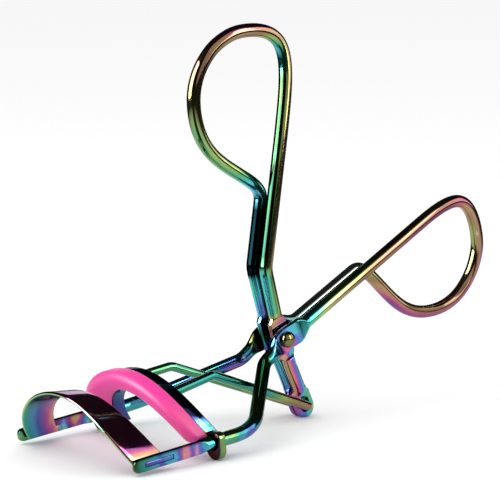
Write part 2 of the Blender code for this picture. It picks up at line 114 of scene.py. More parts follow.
LUG_RIM = 0.3                            # rounding of the stamped edge
BORE_R = 1.5

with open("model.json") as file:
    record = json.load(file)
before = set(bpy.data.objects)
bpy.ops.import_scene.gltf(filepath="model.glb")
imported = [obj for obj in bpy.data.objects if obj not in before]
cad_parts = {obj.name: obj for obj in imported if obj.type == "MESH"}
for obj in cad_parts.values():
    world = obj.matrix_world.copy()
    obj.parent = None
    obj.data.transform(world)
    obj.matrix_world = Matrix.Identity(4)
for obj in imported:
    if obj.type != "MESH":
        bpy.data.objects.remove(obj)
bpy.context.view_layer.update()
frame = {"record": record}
joints = {joint["name"]: joint for joint in frame["record"]["behaviour"]["joints"]}
pivot = Vector(joints["lever_hinge"]["pos_m"])
rails = Vector(joints["jaw_slide"]["axis"])
tilt = math.atan2(-rails.z, rails.x)
TO_ROW = Matrix.Translation(pivot) @ Matrix.Rotation(tilt, 4, "Y") @ Matrix.Scale(MM, 4)
RAIL_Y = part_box("frame_wire")[1].y / MM - RAIL_OUT


# ---------------------------------------------------------------- meshes

def smoothstep(x):
    x = min(1.0, max(0.0, x))
    return x * x * (3.0 - 2.0 * x)


def mix(a, b, t):
    return a + (b - a) * t


def rounded(points, radii, steps=18):
    """Replaces each inner corner of a polyline by an arc of the given radius."""
    out = [Vector(points[0])]
    for i, radius in enumerate(radii):
        corner = Vector(points[i + 1])
        a = (Vector(points[i]) - corner).normalized()
        b = (Vector(points[i + 2]) - corner).normalized()
        half = a.angle(b) / 2.0
        reach = radius / math.tan(half)
        centre = corner + (a + b).normalized() * (radius / math.sin(half))
        arm = corner + a * reach - centre
        axis = arm.cross(corner + b * reach - centre).normalized()
        turn = math.pi - 2.0 * half
        for k in range(steps + 1):
            out.append(centre + Matrix.Rotation(turn * k / steps, 3, axis) @ arm)
    out.append(Vector(points[-1]))
    return out


def subdivided(path, spacing):
    out = [path[0]]
    for a, b in zip(path[:-1], path[1:]):
        length = (b - a).length
        if length < SAME_PLACE:
            continue
        count = max(1, math.ceil(length / min(spacing(a), spacing(b), spacing((a + b) / 2.0))))
        out.extend(a.lerp(b, k / count) for k in range(1, count + 1))
    return out


def pressed_ring(a, b, flat, sides=WIRE_SIDES):
    """An ellipse with half axes a and b whose a side is pressed flat to half thickness flat."""
    out = []
    for k in range(sides):
        angle = math.tau * (k + 0.5) / sides
        out.append((max(-flat, min(flat, a * math.cos(angle))), b * math.sin(angle)))
    return out


def wire_frames(path, ref):
    """Tangent and the two section axes at each point of a path."""
    frames = []
    last = len(path) - 1
    for i, point in enumerate(path):
        ahead = (path[min(i + 1, last)] - point).normalized()
        behind = (point - path[max(i - 1, 0)]).normalized()
        tangent = (ahead + behind).normalized()
        axis_a = (ref - tangent * ref.dot(tangent)).normalized()
        frames.append((tangent, axis_a, tangent.cross(axis_a)))
    return frames


def skin(rings):
    bm = bmesh.new()
    loops = [[bm.verts.new(p) for p in ring] for ring in rings]
    for low, high in zip(loops[:-1], loops[1:]):
        for k in range(len(low)):
            j = (k + 1) % len(low)
            bm.faces.new((low[k], low[j], high[j], high[k]))
    bm.faces.new(reversed(loops[0]))
    bm.faces.new(loops[-1])
    bmesh.ops.recalc_face_normals(bm, faces=bm.faces)
    return bm


def sweep(path, section, ref):
    rings = []
    for point, (_, axis_a, axis_b) in zip(path, wire_frames(path, ref)):
        rings.append([point + axis_a * a + axis_b * b for a, b in section(point)])
    return skin(rings)


def turned(profile, steps=64):
    """Turns a profile of (y, radius) round the Y axis. Its ends lie on the axis, where piece
    merges each ring into one point."""
    rings = []
    for y, radius in profile:
        angles = [math.tau * k / steps for k in range(steps)]
        rings.append([Vector((radius * math.cos(a), y, radius * math.sin(a))) for a in angles])
    return skin(rings)


def prism(outline, along):
    """Extrudes a flat outline along a vector."""
    bm = bmesh.new()
    low = [bm.verts.new(p) for p in outline]
    high = [bm.verts.new(p + along) for p in outline]
    for k in range(len(low)):
        j = (k + 1) % len(low)
        bm.faces.new((low[k], low[j], high[j], high[k]))
    bm.faces.new(reversed(low))
    bm.faces.new(high)
    bmesh.ops.recalc_face_normals(bm, faces=bm.faces)
    return bm


def box(x, y, z, bevel=0.0):
    corners = [Vector((x[0], y[0], z[0])), Vector((x[1], y[0], z[0])),
               Vector((x[1], y[1], z[0])), Vector((x[0], y[1], z[0]))]
    bm = prism(corners, Vector((0.0, 0.0, z[1] - z[0])))
    if bevel:
        bmesh.ops.bevel(bm, geom=bm.edges[:], offset=bevel, segments=3, affect="EDGES", profile=0.5)
    return bm


def y_bar(x, z, radius, length, direction, half_y=6.0):
    """A round-ended bar along Y, reaching from (x, z) by length in direction."""
    base = math.atan2(direction[1], direction[0])
    outline = []
    for end, first in ((length, -0.5), (0.0, 0.5)):
        for k in range(33):
            angle = base + math.pi * (first + k / 32)
            outline.append(Vector((x + direction[0] * end + radius * math.cos(angle), -half_y,
                                   z + direction[1] * end + radius * math.sin(angle))))
    points = [p for i, p in enumerate(outline) if (p - outline[i - 1]).length > SAME_PLACE]
    return prism(points, Vector((0.0, 2.0 * half_y, 0.0)))


def temporary(bm):
    mesh = bpy.data.meshes.new("temporary")
    bm.to_mesh(mesh)
    bm.free()
    obj = bpy.data.objects.new("temporary", mesh)
    bpy.context.scene.collection.objects.link(obj)
    return obj


def combine(bm, tool, operation):
    """Applies an exact Boolean between two bmeshes and returns the result."""
    base = temporary(bm)
    other = temporary(tool)
    modifier = base.modifiers.new("cut", "BOOLEAN")
    modifier.operation = operation
    modifier.solver = "EXACT"
    modifier.object = other
    graph = bpy.context.evaluated_depsgraph_get()
    result = bmesh.new()
    result.from_mesh(base.evaluated_get(graph).to_mesh())
    bpy.data.objects.remove(base)
    bpy.data.objects.remove(other)
    return result


def piece(name, bm, mat, body, stands_for, angle=32.0, film=None, wire=None):
    """Makes a finished piece of a bmesh in mechanism millimetres. Its coating, whose tone carries
    painted shade and highlights, comes from film, a function of place and normal, or from wire,
    the arguments of wire_attributes."""
    bmesh.ops.remove_doubles(bm, verts=bm.verts, dist=SAME_PLACE)
    mesh = bpy.data.meshes.new(name)
    bm.to_mesh(mesh)
    bm.free()
    places = [v.co.copy() for v in mesh.vertices]
    if wire is not None:
        film_values, streaks = wire_attributes(places, *wire)
    else:
        film_values = [film(v.co, v.normal) for v in mesh.vertices]
        streaks = [(p.y * 0.05, p.x * 0.6, p.z * 0.05) for p in places]
    film_data = mesh.attributes.new("film", "FLOAT_VECTOR", "POINT")
    film_data.data.foreach_set("vector", np.array(film_values, np.float32).ravel())
    streak_data = mesh.attributes.new("streak", "FLOAT_VECTOR", "POINT")
    streak_data.data.foreach_set("vector", np.array(streaks, np.float32).ravel())
    mesh.transform(TO_ROW)
    mesh.materials.append(mat)
    mesh.shade_smooth()
    mesh.set_sharp_from_angle(angle=math.radians(angle))
    obj = bpy.data.objects.new(name, mesh)
    bpy.context.scene.collection.objects.link(obj)
    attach(obj, body)
    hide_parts(stands_for)
    return obj


def ramp(stops, at):
    """Linear interpolation in a list of (place, three values)."""
    places = [stop[0] for stop in stops]
    return [float(np.interp(at, places, [stop[1][k] for stop in stops])) for k in range(3)]


def wire_attributes(places, path, ref, stops, shade_lines=()):
    """Coating (hue, tone of painted shade and highlight, slope across the wire) and streak coordinates
    of points on a wire.
    A painted shade line is a darker line along the wire where it mirrors a dark gap between the lights:
    (from, to, side of the section, width, depth)."""
    centres = np.array(path)
    steps = np.linalg.norm(np.diff(centres, axis=0), axis=1)
    along = np.concatenate([[0.0], np.cumsum(steps)])
    frames = wire_frames(path, ref)
    film, streaks = [], []
    for place in places:
        offsets = centres - np.array(place)
        i = int(np.argmin((offsets * offsets).sum(axis=1)))
        tangent, axis_a, axis_b = frames[i]
        away = place - path[i]
        size = max(away.length, 1e-6)
        side_a, side_b = away.dot(axis_a) / size, away.dot(axis_b) / size
        share = along[i] / along[-1]
        hue, tone, slope = ramp(stops, share)
        on_flat = smoothstep((place.x - FLAT_STAIN_AND_SHADE[0]) / FLAT_STAIN_AND_SHADE[1])
        patchy = PATCHY[0] + PATCHY[1] * on_flat
        upward = side_b * math.copysign(1.0, tangent.x)
        # painted shade: the top face of each rail flat is darkened
        tone *= 1.0 - FLAT_TOP_PAINTED_SHADE * on_flat * smoothstep((upward - 0.75) / 0.2)
        # painted shade lines: darker lines where the wire mirrors a dark gap between the lights
        for begin, end, side, width, depth in shade_lines:
            within = smoothstep((share - begin) / SHADE_LINE_FADE) * smoothstep((end - share) / SHADE_LINE_FADE)
            tone *= 1.0 - depth * within * math.exp(-((side_b - side) / width) ** 2)
        film.append((hue + slope * side_b, tone, patchy))
        streaks.append((side_a, side_b, along[i] * 0.04))
    return film, streaks


# ---------------------------------------------------------------- wires

def loop_curve(start, along, out, offset, y_far, y_near):
    """The finger loop: up the far strand, round the loop and back down the near one."""
    control = []
    for i, (distance, reach) in enumerate(LOOP):
        flat = Vector(start) + Vector(along) * (distance + offset) + Vector(out) * reach
        crossing = min(1.0, max(0.0, (i - 2) / (len(LOOP) - 5)))
        control.append(Vector((flat[0], mix(y_far, y_near, crossing), flat[1])))
    return smooth_curve(control, LOOP_STEPS)


def smooth_curve(control, steps):
    """A uniform cubic B-spline, from beside its second control point to beside its last but one."""
    points = []
    for i in range(len(control) - 3):
        a, b, c, d = control[i:i + 4]
        last = 1 if i == len(control) - 4 else 0
        for k in range(steps + last):
            t = k / steps
            points.append((a * (1.0 - t) ** 3 + b * (3.0 * t ** 3 - 6.0 * t * t + 4.0)
                           + c * (-3.0 * t ** 3 + 3.0 * t * t + 3.0 * t + 1.0) + d * t ** 3) / 6.0)
    return points


def wire_path(side, radii, loop):
    """A symmetric bent wire: the far side, the finger loop, then the near side."""
    far = rounded(side(-1) + [loop[0]], radii)
    near = rounded([loop[-1]] + side(1)[::-1], radii[::-1])
    return far[:-1] + loop + near[1:]


def frame_ring(point):
    """Round wire, pressed at the rivet and along the ends of the rails."""
    if abs(point.y) < 6.0 and abs(point.z) < 8.0:
        reach = math.hypot(point.x - FRAME_EAR_X, point.z - FRAME_EAR_Z)
        behind = smoothstep((reach - 1.6) / 3.9)
        press = 1.0 - (behind if point.x < FRAME_EAR_X else smoothstep((reach - 3.0) / 3.3))
        wide = 1.0 - smoothstep((reach - 2.3) / 3.4)
        return pressed_ring(WIRE_R, mix(WIRE_R, FRAME_EAR[1], wide), mix(WIRE_R, EAR_T / 2.0, press))
    press = smoothstep((point.x - FLAT_FROM) / FLAT_FADE)
    into = min(1.0, max(0.0, (point.x - (RAIL_TIP - TIP_ROUND)) / TIP_ROUND))
    shrink = math.sqrt(max(0.0, 1.0 - into * into * 0.85))
    ring = pressed_ring(WIRE_R, mix(WIRE_R, FLAT_HALF, press), mix(WIRE_R, EAR_T / 2.0, press))
    return [(a * shrink, b * shrink) for a, b in ring]


def frame_path():
    along = Vector((-math.cos(HANDLE_UP), math.sin(HANDLE_UP)))
    out = Vector((-math.sin(HANDLE_UP), -math.cos(HANDLE_UP)))
    ear_y, _, ear_length = FRAME_EAR
    ear_end = Vector(HANDLE_FROM).normalized() * ear_length

    def side(sign):
        return [Vector((RAIL_TIP, sign * RAIL_Y, RAIL_Z)),
                Vector((RAIL_BACK, sign * RAIL_Y, RAIL_Z)),
                Vector((FRAME_SHOULDER[0], sign * FRAME_SHOULDER[1], FRAME_SHOULDER[2])),
                Vector((0.0, sign * ear_y, 0.0)),
                Vector((ear_end[0], sign * ear_y, ear_end[1])),
                Vector((HANDLE_FROM[0], sign * HANDLE_Y[0], HANDLE_FROM[1]))]

    loop = loop_curve(HANDLE_FROM, along, out, HANDLE_OFFSET, -HANDLE_Y[1], HANDLE_Y[1])
    path = wire_path(side, FRAME_BENDS, loop)

    def spacing(point):
        if abs(point.y) < 6.0 and math.hypot(point.x, point.z) < 8.0:
            return 0.3
        if point.x > RAIL_TIP - 1.3:
            return 0.12
        if point.x > FLAT_FROM - 1.0:
            return 0.4
        return 1.2

    path = subdivided(path, spacing)
    for point in path:
        if point.x > RAIL_BACK:
            shift = FLAT_SHIFT * smoothstep((point.x - FLAT_FROM) / FLAT_FADE)
            point.y += math.copysign(shift, point.y)
    return path


def rivet_hole():
    return y_bar(0.0, 0.0, RIVET[0] + RIVET_PLAY, 0.0, (1.0, 0.0))


def frame_wire(mat):
    path = frame_path()
    ref = Vector((0.0, 1.0, 0.0))
    bm = sweep(path, frame_ring, ref)
    bm = combine(bm, rivet_hole(), "DIFFERENCE")
    for sign in (-1, 1):
        window = box((TAB_X[0] - TAB_PLAY[0], TAB_X[1] + TAB_PLAY[0]),
                     sorted((sign * 14.0, sign * 19.0)),
                     (RAIL_Z - TAB_T / 2.0 - TAB_PLAY[1], RAIL_Z + TAB_T / 2.0 + TAB_PLAY[1]))
        bm = combine(bm, window, "DIFFERENCE")
    return piece("frame_wire_steel", bm, mat, "frame", "frame_wire",
                 wire=(path, ref, FRAME_FILM_AND_PAINTED_LIGHT, FRAME_PAINTED_SHADE_LINES))


def crank_direction():
    return Vector((-math.sin(CRANK_BACK), -math.cos(CRANK_BACK)))


def crank_reach(point):
    down = crank_direction()
    return point.x * down[0] + point.z * down[1]


def lever_sizes(point):
    """Half axes and pressed half thickness of the lever's section."""
    reach = crank_reach(point)
    if reach < 6.0:
        off = math.hypot(point.x, point.z)
        press = 1.0 - smoothstep((off - 4.0) / 0.45)
        wide = 1.0 - smoothstep((off - 3.2) / 1.3)
        beside = mix(ARM_HALF, WIRE_R, smoothstep(-reach / 4.0))
        return WIRE_R, mix(WIRE_R, LEVER_EAR[1], wide), mix(beside, EAR_T / 2.0, press)
    press = smoothstep((reach - (CRANK - 4.0)) / 1.2)
    wide = smoothstep((reach - (CRANK - 4.4)) / 2.2)
    past = min(1.0, max(0.0, (reach - CRANK) / EYE[1]))
    narrow = math.sqrt(max(0.01, 1.0 - past * past))
    return WIRE_R, mix(WIRE_R, EYE[1], wide) * narrow, mix(ARM_HALF, EYE[0], press)


def lever_path():
    along = Vector((-math.sin(LEVER_BACK), math.cos(LEVER_BACK)))
    out = Vector((math.cos(LEVER_BACK), math.sin(LEVER_BACK)))
    down = crank_direction()
    foot = down * (CRANK + EYE[1])

    def side(sign):
        return [Vector((foot[0], sign * LEVER_EAR[0], foot[1])),
                Vector((0.0, sign * LEVER_EAR[0], 0.0)),
                Vector((KINK[0], sign * LEVER_Y, KINK[1]))]

    loop = loop_curve(KINK, along, out, 0.0, -LEVER_Y, LEVER_Y)
    path = wire_path(side, LEVER_BENDS, loop)

    def spacing(point):
        reach = crank_reach(point)
        if reach > CRANK + 1.2:
            return 0.08
        if reach > CRANK - 5.0 or math.hypot(point.x, point.z) < 6.0:
            return 0.25
        return 1.2

    path = subdivided(path, spacing)
    for point in path:
        reach = crank_reach(point)
        if reach > 4.0:
            beside = mix(LEVER_EAR[0], ARM_INNER + lever_sizes(point)[2],
                         smoothstep((reach - 4.0) / 2.5))
            point.y = math.copysign(beside, point.y)
    return path


def lever_wire(mat):
    path = lever_path()
    ref = Vector((0.0, 1.0, 0.0))
    down = crank_direction()
    bm = sweep(path, lambda point: pressed_ring(*lever_sizes(point)), ref)
    bm = combine(bm, rivet_hole(), "DIFFERENCE")
    eye = down * CRANK
    bm = combine(bm, y_bar(eye[0], eye[1], EYE[2], EYE[3], (-down[0], -down[1])), "DIFFERENCE")
    return piece("lever_wire_steel", bm, mat, "lever", "lever_wire",
                 wire=(path, ref, LEVER_FILM_AND_PAINTED_LIGHT, LEVER_PAINTED_SHADE_LINES))


def push_link(mat):
    eye = crank_direction() * CRANK
    elbow = Vector(LINK_ELBOW)

    def side(sign):
        front = elbow + Vector((1.0, LINK_SLOPE[0], LINK_SLOPE[1])) * LINK_REACH
        points = [front, elbow, Vector((eye[0], LINK_Y, eye[1]))]
        return [Vector((p.x, sign * p.y, p.z)) for p in points]

    path = rounded(side(-1) + side(1)[::-1], LINK_BENDS)
    path = subdivided(path, lambda point: 1.0)
    ref = Vector((-0.45, 0.0, 0.89))
    bm = sweep(path, lambda point: pressed_ring(LINK_R, LINK_R, LINK_R, LINK_SIDES), ref)
    return piece("push_link_steel", bm, mat, "carriage", "push_link",
                 wire=(path, ref, LINK_FILM))


def pivot_rivet(mat):
    """Turned profile along Y: domed head on the near side, flatter tail on the far side."""
    shank, head, tail, head_height, tail_height = RIVET
    under = FRAME_EAR[0] + EAR_T / 2.0 + 0.05
    profile = [(under + head_height * 1.18, 0.0)]
    for k in range(1, 19):
        angle = math.pi / 2.0 * k / 18
        profile.append((under + 0.2 + (head_height - 0.02) * math.cos(angle), head * math.sin(angle)))
    profile += [(under + 0.1, head * 1.0), (under, head * 0.94), (under, shank), (-under, shank),
                (-under, tail * 0.95)]
    for k in range(13):
        angle = math.pi / 2.0 * (1.0 - k / 12)
        profile.append((-under - 0.1 - tail_height * math.cos(angle), tail * math.sin(angle)))
    return piece("pivot_rivet_steel", turned(profile), mat, "frame", "pivot_rivet",
                 film=rivet_film)


# ---------------------------------------------------------------- jaws and pad

def arch_point(half, rise, x, sweep_back, turn, inward=0.0):
    """A point on a circular arch that sweeps back towards its feet; turn runs from -1 at the far
    foot to 1 at the near one."""
    radius = (half * half + rise * rise) / (2.0 * rise)
    angle = math.asin(half / radius) * turn
    z = ARCH_Z + rise - radius + (radius - inward) * math.cos(angle)
    drop = ARCH_Z + rise - z
    return Vector((x - sweep_back[0] * drop - sweep_back[1] * drop * drop,
                   (radius - inward) * math.sin(angle), z))


def plate_ring(turn):
    """Section of the fixed jaw: a strip of sheet with rounded edges."""
    half_span, sheet = FIXED
    back = arch_point(half_span, FIXED_BACK[1], FIXED_BACK[0], FIXED_BACK[2], turn)
    front = arch_point(half_span, FIXED_FRONT[1], FIXED_FRONT[0], FIXED_FRONT[2], turn)
    inner = arch_point(half_span, FIXED_BACK[1], FIXED_BACK[0], FIXED_BACK[2], turn, sheet)
    across = (front - back).normalized()
    inward = inner - back
    inward = (inward - across * inward.dot(across)).normalized()
    half = sheet / 2.0
    ring = []
    for k in range(9):
        angle = math.pi * k / 8
        ring.append(front - across * half + inward * (half - half * math.cos(angle))
                    + across * half * math.sin(angle))
    ring += [mix(front, back, k / 6) + inward * sheet for k in range(1, 6)]
    for k in range(9):
        angle = math.pi * k / 8
        ring.append(back + across * half + inward * (half + half * math.cos(angle))
                    - across * half * math.sin(angle))
    ring += [mix(back, front, k / 6) for k in range(1, 6)]
    return ring


def turns(count):
    """Stations along an arch from its far foot to its near one."""
    return [-1.0 + 2.0 * k / count for k in range(count + 1)]


def fixed_jaw(mat):
    bm = skin([plate_ring(t) for t in turns(120)])
    outer = RAIL_Y + FLAT_SHIFT + EAR_T / 2.0
    for sign in (-1, 1):
        tab = box(TAB_X, sorted((sign * (FIXED[0] - 0.75), sign * outer)),
                  (RAIL_Z - TAB_T / 2.0, RAIL_Z + TAB_T / 2.0), 0.1)
        bm = combine(bm, tab, "UNION")
    return piece("fixed_jaw_steel", bm, mat, "frame", "fixed_jaw",
                 film=fixed_film)


def slide_point(ahead, inward, turn):
    half, rise, x, sweep_back = SLIDE
    return arch_point(half, rise, x + ahead, sweep_back, turn, inward)


def channel_section():
    """(Ahead of the back, inward from the outer face) of a folded channel with rounded corners."""
    depth, sheet, height = CHANNEL
    bend = CHANNEL_BEND
    section = []
    for k in range(7):
        angle = math.pi / 2.0 * k / 6
        section.append((bend - bend * math.cos(angle), bend - bend * math.sin(angle)))
    for k in range(7):
        angle = math.pi * (k / 6 - 0.5)
        section.append((depth - sheet / 2.0 + sheet / 2.0 * math.cos(angle),
                        sheet / 2.0 + sheet / 2.0 * math.sin(angle)))
    section += [(sheet, sheet), (sheet, height - sheet)]
    for k in range(7):
        angle = math.pi * (k / 6 - 0.5)
        section.append((depth - sheet / 2.0 + sheet / 2.0 * math.cos(angle),
                        height - sheet / 2.0 + sheet / 2.0 * math.sin(angle)))
    for k in range(7):
        angle = math.pi / 2.0 * k / 6
        section.append((bend - bend * math.sin(angle), height - bend + bend * math.cos(angle)))
    return section


def lug(sign):
    """A stamped lug with a round foot, square to the rail."""
    half, above, below = LUG
    outline = []
    for k in range(33):
        angle = math.pi + math.pi * k / 32
        outline.append(Vector((LUG_X[0], sign * RAIL_Y + half * math.cos(angle),
                               RAIL_Z - below + half + half * math.sin(angle))))
    for side in (1, -1):
        for k in range(9):
            angle = math.pi / 2.0 * (k / 8 + (0.0 if side > 0 else 1.0))
            outline.append(Vector((LUG_X[0],
                                   sign * RAIL_Y + side * (half - LUG_CORNER)
                                   + LUG_CORNER * math.cos(angle),
                                   RAIL_Z + above - LUG_CORNER + LUG_CORNER * math.sin(angle))))
    bm = prism(outline, Vector((LUG_X[1] - LUG_X[0], 0.0, 0.0)))
    rims = [e for e in bm.edges if abs(e.verts[0].co.x - e.verts[1].co.x) < 1e-6]
    bmesh.ops.bevel(bm, geom=rims, offset=LUG_RIM, segments=4, affect="EDGES", profile=0.5)
    return bm


def rail_bore(sign):
    outline = []
    for k in range(48):
        angle = math.tau * k / 48
        outline.append(Vector((LUG_X[0] - 8.0, sign * RAIL_Y + BORE_R * math.cos(angle),
                               RAIL_Z + BORE_R * math.sin(angle))))
    return prism(outline, Vector((16.0, 0.0, 0.0)))


def slide_jaw(mat):
    section = channel_section()
    bm = skin([[slide_point(a, i, t) for a, i in section] for t in turns(110)])
    for sign in (-1, 1):
        bm = combine(bm, lug(sign), "UNION")
        bm = combine(bm, rail_bore(sign), "DIFFERENCE")
    return piece("slide_jaw_steel", bm, mat, "carriage", "slide_jaw",
                 film=slide_film)


def pad_section():
    """Tongue in the channel, then the fatter rounded nose that meets the fixed jaw."""
    tongue = CHANNEL[1] + 0.05
    lip = CHANNEL[0] + 0.02
    top = -PAD_OVERHANG
    low = CHANNEL[2] - 0.1
    back = lip + PAD_FILLET
    front = PAD_FRONT - PAD_NOSE
    section = [(tongue, tongue), (lip, tongue), (lip, top + PAD_FILLET)]
    for k in range(1, 6):
        angle = math.pi / 2.0 * k / 5
        section.append((back - PAD_FILLET * math.cos(angle),
                        top + PAD_FILLET - PAD_FILLET * math.sin(angle)))
    for k in range(15):
        angle = math.pi / 2.0 * (1.0 - k / 14)
        section.append((front + PAD_NOSE * math.cos(angle),
                        top + PAD_NOSE - PAD_NOSE * math.sin(angle)))
    for k in range(1, 15):
        angle = math.pi / 2.0 * k / 14
        section.append((front + PAD_NOSE * math.cos(angle),
                        low - PAD_NOSE + PAD_NOSE * math.sin(angle)))
    for k in range(6):
        angle = math.pi / 2.0 * k / 5
        section.append((back - PAD_FILLET * math.sin(angle),
                        low - PAD_FILLET + PAD_FILLET * math.cos(angle)))
    section += [(lip, CHANNEL[2] - tongue), (tongue, CHANNEL[2] - tongue)]
    return section


def jaw_pad(mat):
    """The pad's ends are rounded off by drawing the section in towards its middle."""
    section = pad_section()
    centre = (mix(CHANNEL[1], PAD_FRONT, 0.55), CHANNEL[2] / 2.0)
    rings = []
    stations = [1.0 - 0.045 * (1.0 - math.sin(math.pi / 2.0 * k / 8)) for k in range(9)]
    inner = [stations[0] * k / 60 for k in range(-60, 61)]
    places = sorted({round(-s, 6) for s in stations} | {round(t, 6) for t in inner} |
                    {round(s, 6) for s in stations})
    for place in places:
        into = max(0.0, (abs(place) - stations[0]) / (1.0 - stations[0]))
        size = mix(0.72, 1.0, math.sqrt(max(0.0, 1.0 - into * into)))
        ring = [(centre[0] + (a - centre[0]) * size, centre[1] + (i - centre[1]) * size)
                for a, i in section]
        rings.append([slide_point(a, i, place * PAD_SPAN) for a, i in ring])
    bm = skin(rings)
    return piece("jaw_pad_silicone", bm, mat, "carriage", "jaw_pad", angle=60.0,
                 film=lambda p, n: (p.y / SLIDE[0], 1.0, 0.0))


# ---------------------------------------------------------------- coating colours

# Hue runs round the COATING ramp. Tone is painted light: below 1 it darkens the coating as painted
# shade, above 1 it bares pale steel as a painted highlight.
FLAT_STAIN_AND_SHADE = (27.0, 6.0)                 # x where the stained rail flats and their painted top shade begin, length of the fade
PATCHY = (0.06, 0.44)                    # blotches of hue on every wire, and what the flats add
# painted shade on the top face of the rail flats
FLAT_TOP_PAINTED_SHADE = 0.75
# fade at the ends of each painted shade line
SHADE_LINE_FADE = 0.012

# (share of the wire's length from its far end, (hue, tone as painted shade and highlight, change of hue
# across the wire))
FRAME_FILM_AND_PAINTED_LIGHT = [(0.00, (0.66, 0.60, 0.06)), (0.012, (0.54, 0.85, 0.06)), (0.03, (0.50, 0.85, 0.06)),
              (0.036, (0.30, 0.50, 0.10)), (0.041, (0.44, 1.25, 0.10)), (0.046, (0.26, 0.55, 0.10)),
              (0.051, (0.06, 0.85, 0.10)), (0.057, (0.20, 0.75, 0.10)), (0.065, (0.47, 0.80, 0.10)),
              (0.10, (0.52, 0.65, 0.12)), (0.14, (0.38, 0.65, -0.10)), (0.16, (0.28, 0.80, -0.12)),
              (0.175, (0.50, 0.55, -0.10)), (0.19, (0.27, 0.80, -0.12)), (0.205, (0.42, 0.55, -0.10)),
              # painted shade: tones near 0 from 0.218 to 0.244 hide a reflection on the far ear;
              # painted highlight: tones above 1 from 0.25 to 0.33 give the far handle strand a white
              # line
              (0.218, (0.90, 0.05, 0.05)), (0.235, (0.86, 0.03, 0.08)), (0.244, (0.80, 0.10, 0.08)),
              (0.25, (0.60, 1.40, 0.05)), (0.29, (0.60, 1.90, 0.05)), (0.33, (0.65, 1.60, 0.05)),
              (0.345, (0.80, 0.60, 0.10)), (0.36, (0.92, 0.60, 0.16)), (0.38, (1.04, 0.56, 0.18)),
              (0.43, (1.05, 0.55, 0.18)), (0.47, (1.06, 0.60, 0.24)), (0.52, (1.05, 0.68, 0.26)),
              (0.545, (1.06, 0.60, 0.12)), (0.57, (1.08, 0.42, -0.12)), (0.64, (1.04, 0.42, -0.17)),
              (0.68, (0.84, 0.44, -0.20)), (0.71, (0.86, 0.75, -0.14)), (0.732, (0.68, 0.85, -0.12)),
              (0.745, (0.58, 0.95, -0.06)), (0.757, (0.50, 1.00, 0.06)), (0.768, (0.38, 0.95, 0.10)),
              # painted shade: low tones from 0.80 to 0.84 dim the reflections on the near leg
              (0.778, (0.24, 0.90, 0.10)), (0.788, (0.44, 0.55, 0.06)), (0.80, (0.58, 0.24, 0.08)),
              (0.84, (0.60, 0.24, 0.12)), (0.875, (0.62, 0.40, 0.12)), (0.893, (0.30, 0.60, 0.12)),
              (0.91, (0.66, 0.60, 0.10)), (0.935, (0.54, 0.90, 0.06)), (0.940, (0.36, 0.70, 0.0)),
              (0.944, (0.24, 1.35, 0.0)), (0.948, (0.36, 0.75, 0.0)), (0.952, (0.16, 1.30, 0.0)),
              (0.956, (0.10, 0.95, 0.0)), (0.961, (0.30, 0.90, 0.0)), (0.966, (0.46, 0.95, 0.0)),
              (0.976, (0.34, 0.80, 0.0)), (0.985, (0.52, 0.95, 0.0)), (0.994, (0.56, 0.80, 0.0)),
              (1.00, (0.66, 0.45, 0.0))]
LEVER_FILM_AND_PAINTED_LIGHT = [(0.00, (0.30, 0.80, 0.10)), (0.03, (0.45, 0.80, 0.12)), (0.05, (0.50, 0.70, 0.10)),
              # painted shade: low tones from 0.105 to 0.113 and at 0.884 dim glints at the steps of the
              # ears
              (0.075, (0.62, 0.80, 0.10)), (0.09, (0.30, 0.80, 0.10)), (0.105, (0.48, 0.30, -0.14)),
              (0.113, (0.40, 0.35, -0.14)), (0.122, (0.22, 0.80, -0.18)), (0.138, (0.27, 0.90, -0.16)),
              # painted shade: tones near 0 from 0.177 to 0.25 dim the reflected line on the far strand
              # below the loop
              (0.155, (0.43, 1.00, -0.12)), (0.171, (0.50, 0.90, -0.08)), (0.177, (0.54, 0.02, 0.05)),
              (0.25, (0.56, 0.012, 0.08)), (0.264, (0.50, 0.50, 0.05)), (0.275, (0.49, 1.00, 0.05)),
              (0.29, (0.54, 0.95, 0.06)), (0.305, (0.68, 0.80, 0.12)), (0.325, (0.75, 0.75, 0.14)),
              (0.38, (0.77, 0.70, 0.14)), (0.41, (0.88, 0.50, 0.10)), (0.45, (0.94, 0.42, 0.05)),
              (0.50, (1.06, 0.52, -0.12)), (0.545, (0.96, 0.60, -0.26)), (0.575, (0.80, 0.75, -0.34)),
              # painted highlight: tones above 1 from 0.64 to 0.75 brighten the near strand's reflected
              # line
              (0.590, (0.82, 0.65, -0.32)), (0.605, (0.86, 0.75, -0.20)), (0.64, (0.86, 1.06, -0.20)),
              (0.75, (0.85, 1.06, -0.21)), (0.812, (0.85, 0.80, -0.21)), (0.825, (0.68, 0.95, -0.17)),
              (0.865, (0.72, 0.90, -0.17)), (0.876, (1.08, 0.70, -0.06)), (0.884, (1.10, 0.35, -0.06)),
              (0.893, (1.14, 0.65, -0.03)), (0.905, (1.20, 0.70, 0.0)), (0.92, (1.32, 0.75, -0.32)),
              (0.95, (1.30, 0.80, -0.34)), (0.97, (1.40, 0.80, -0.26)), (1.00, (1.48, 0.85, -0.14))]
